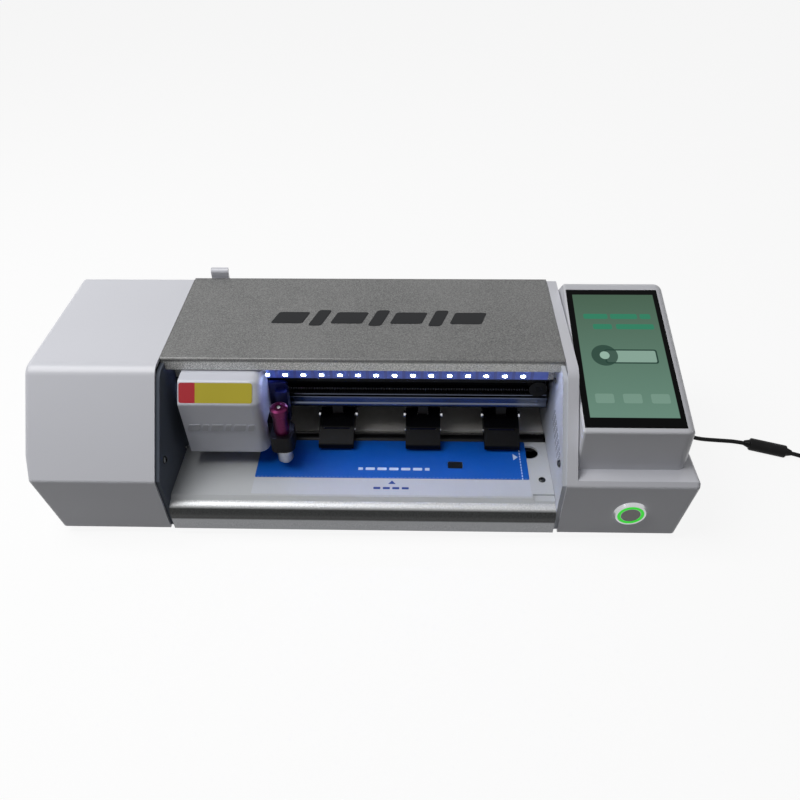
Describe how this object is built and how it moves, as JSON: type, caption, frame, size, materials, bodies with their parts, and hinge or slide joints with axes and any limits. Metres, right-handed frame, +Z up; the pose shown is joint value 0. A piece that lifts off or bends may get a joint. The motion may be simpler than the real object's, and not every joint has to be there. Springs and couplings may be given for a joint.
{
  "type": "film and vinyl cutter",
  "caption": "Desktop roller-fed film and vinyl cutter: a blade carriage on a cross rail, sprung pinch rollers, a lift lever and a tilted touch console.",
  "frame": {"origin": "on the table, below the middle of the machine's own box, without its power lead", "axes": "+X to the right along the cutting rail, +Y to the back in the film's feed direction, +Z up"},
  "size_m": [0.675, 0.2654, 0.1332],
  "materials": {
    "housing_white": "satin-gloss white ABS",
    "console_white": "satin-gloss white ABS",
    "plate_dark": "dark grey powder coat",
    "plate_pale": "pale powder coat",
    "cover_grey": "bead-blasted, clear anodised",
    "trim_silver": "satin anodised",
    "platen_grey": "fine powder coat",
    "mat_blue": "printed film, satin",
    "black_anodised": "black anodised",
    "steel": "ground",
    "zinc": "zinc plated",
    "motor_black": "black with raw end",
    "belt_rubber": "moulded neoprene",
    "roller_rubber": "ground rubber",
    "arm_black": "fine texture",
    "head_white": "satin-gloss white ABS",
    "bracket_blue": "dark blue anodised",
    "coil_black": "bobbin and tape",
    "clamp_black": "fine texture",
    "knife_purple": "magenta anodised",
    "nose_silver": "knurled and polished",
    "blade_carbide": "ground carbide",
    "glass_black": "polished cover glass, black border",
    "panel_green": "lit display",
    "led_white": "lamp strip",
    "board_green": "solder mask",
    "button_ring": "bright",
    "button_cap": "satin",
    "jack_black": "moulded",
    "foot_rubber": "moulded",
    "lever_white": "white powder coat",
    "cord_black": "extruded PVC",
    "adapter_black": "fine spark texture"
  },
  "bodies": {
    "machine": {"base_plate": "zinc", "left_side_plate": "plate_dark", "right_side_plate": "plate_pale", "left_housing": "housing_white", "right_housing": "housing_white", "console_housing": "console_white", "display_glass": "glass_black", "display_panel": "panel_green", "top_cover": "cover_grey", "front_trim": "trim_silver", "rear_panel": "housing_white", "front_platen": "platen_grey", "rear_platen": "platen_grey", "placement_mat": "mat_blue", "edge_sensor": "glass_black", "cross_beam": "black_anodised", "carriage_rail": "steel", "led_strip": "led_white", "carriage_motor": "motor_black", "carriage_belt": "belt_rubber", "feed_motor": "motor_black", "feed_belt": "belt_rubber", "feed_bearings": "steel", "pinch_hangers": "steel", "pinch_springs": "steel", "control_board": "board_green", "dc_jack": "jack_black", "power_button_bezel": "button_ring", "rubber_feet": "foot_rubber", "dc_plug": "cord_black", "power_cable": "cord_black", "ferrite_bead": "cord_black", "cable_coil": "cord_black", "power_adapter": "adapter_black"},
    "carriage": {"carriage_slider": "steel", "carriage_bracket": "bracket_blue", "head_cover": "head_white", "lift_coil": "coil_black"},
    "blade_holder": {"blade_clamp": "clamp_black", "blade_barrel": "knife_purple", "blade_nose": "nose_silver"},
    "blade": {"blade": "blade_carbide"},
    "feed_roller": {"feed_shaft": "steel", "feed_driven_pulley": "steel"},
    "feed_motor_rotor": {"feed_motor_pulley": "steel"},
    "drive_pulley": {"carriage_drive_pulley": "steel"},
    "idler_pulley": {"carriage_idler_pulley": "steel"},
    "pinch_arm_1": {"pinch_arm_1": "arm_black"},
    "pinch_arm_2": {"pinch_arm_2": "arm_black"},
    "pinch_arm_3": {"pinch_arm_3": "arm_black"},
    "pinch_roller_1": {"pinch_roller_1": "roller_rubber", "pinch_axle_1": "steel"},
    "pinch_roller_2": {"pinch_roller_2": "roller_rubber", "pinch_axle_2": "steel"},
    "pinch_roller_3": {"pinch_roller_3": "roller_rubber", "pinch_axle_3": "steel"},
    "lift_shaft": {"lift_shaft": "steel", "lift_lever": "lever_white"},
    "power_button": {"power_button_cap": "button_cap"}
  },
  "joints": [
    {"name": "carriage_slide", "type": "slide", "parent": "machine", "child": "carriage", "axis": [1, 0, 0], "range_m": [-0.006, 0.184]},
    {"name": "blade_press", "type": "slide", "parent": "carriage", "child": "blade_holder", "axis": [0, 0, -1], "range_m": [0, 0.004], "stiffness_N_per_m": 200, "springref_m": -0.004},
    {"name": "blade_swivel", "type": "hinge", "parent": "blade_holder", "child": "blade", "pos_m": [-0.0595, -0.045, 0.05], "axis": [0, 0, 1], "continuous": true},
    {"name": "feed_spin", "type": "hinge", "parent": "machine", "child": "feed_roller", "pos_m": [0, -0.012, 0.0278], "axis": [1, 0, 0], "continuous": true},
    {"name": "feed_motor_spin", "type": "hinge", "parent": "machine", "child": "feed_motor_rotor", "pos_m": [-0.16, 0.03, 0.062], "axis": [1, 0, 0], "continuous": true},
    {"name": "drive_pulley_spin", "type": "hinge", "parent": "machine", "child": "drive_pulley", "pos_m": [-0.119, -0.0062, 0.0814], "axis": [0, 1, 0], "range_deg": [-90, 2150]},
    {"name": "idler_pulley_spin", "type": "hinge", "parent": "machine", "child": "idler_pulley", "pos_m": [0.131, -0.0062, 0.0814], "axis": [0, 1, 0], "range_deg": [-90, 2150]},
    {"name": "lift_lever_swing", "type": "hinge", "parent": "machine", "child": "lift_shaft", "pos_m": [0, 0.038, 0.0498], "axis": [1, 0, 0], "range_deg": [-28, 0]},
    {"name": "pinch_arm_1_tilt", "type": "hinge", "parent": "machine", "child": "pinch_arm_1", "pos_m": [-0.023, 0, 0.047], "axis": [1, 0, 0], "range_deg": [-4.3, 0]},
    {"name": "pinch_roller_1_spin", "type": "hinge", "parent": "pinch_arm_1", "child": "pinch_roller_1", "pos_m": [-0.023, -0.012, 0.0413], "axis": [1, 0, 0], "continuous": true},
    {"name": "pinch_arm_2_tilt", "type": "hinge", "parent": "machine", "child": "pinch_arm_2", "pos_m": [0.0444, 0, 0.047], "axis": [1, 0, 0], "range_deg": [-4.3, 0], "deforming": ["pinch_springs"]},
    {"name": "pinch_roller_2_spin", "type": "hinge", "parent": "pinch_arm_2", "child": "pinch_roller_2", "pos_m": [0.0444, -0.012, 0.0413], "axis": [1, 0, 0], "continuous": true},
    {"name": "pinch_arm_3_tilt", "type": "hinge", "parent": "machine", "child": "pinch_arm_3", "pos_m": [0.1056, 0, 0.047], "axis": [1, 0, 0], "range_deg": [-4.3, 0]},
    {"name": "pinch_roller_3_spin", "type": "hinge", "parent": "pinch_arm_3", "child": "pinch_roller_3", "pos_m": [0.1056, -0.012, 0.0413], "axis": [1, 0, 0], "continuous": true},
    {"name": "power_button_press", "type": "slide", "parent": "machine", "child": "power_button", "axis": [0, 0.9971, 0.0767], "range_m": [0, 0.0015], "stiffness_N_per_m": 900, "springref_m": -0.0012}
  ],
  "couplings": [
    {"joint": "drive_pulley_spin", "follows": "carriage_slide", "rad_per_m": 190.48},
    {"joint": "idler_pulley_spin", "follows": "carriage_slide", "rad_per_m": 190.48},
    {"joint": "feed_motor_spin", "follows": "feed_spin", "ratio": 2},
    {"joint": "pinch_roller_1_spin", "follows": "feed_spin", "ratio": -1.2},
    {"joint": "pinch_arm_1_tilt", "follows": "lift_lever_swing", "ratio": 0.15},
    {"joint": "pinch_roller_2_spin", "follows": "feed_spin", "ratio": -1.2},
    {"joint": "pinch_arm_2_tilt", "follows": "lift_lever_swing", "ratio": 0.15},
    {"joint": "pinch_roller_3_spin", "follows": "feed_spin", "ratio": -1.2},
    {"joint": "pinch_arm_3_tilt", "follows": "lift_lever_swing", "ratio": 0.15}
  ]
}
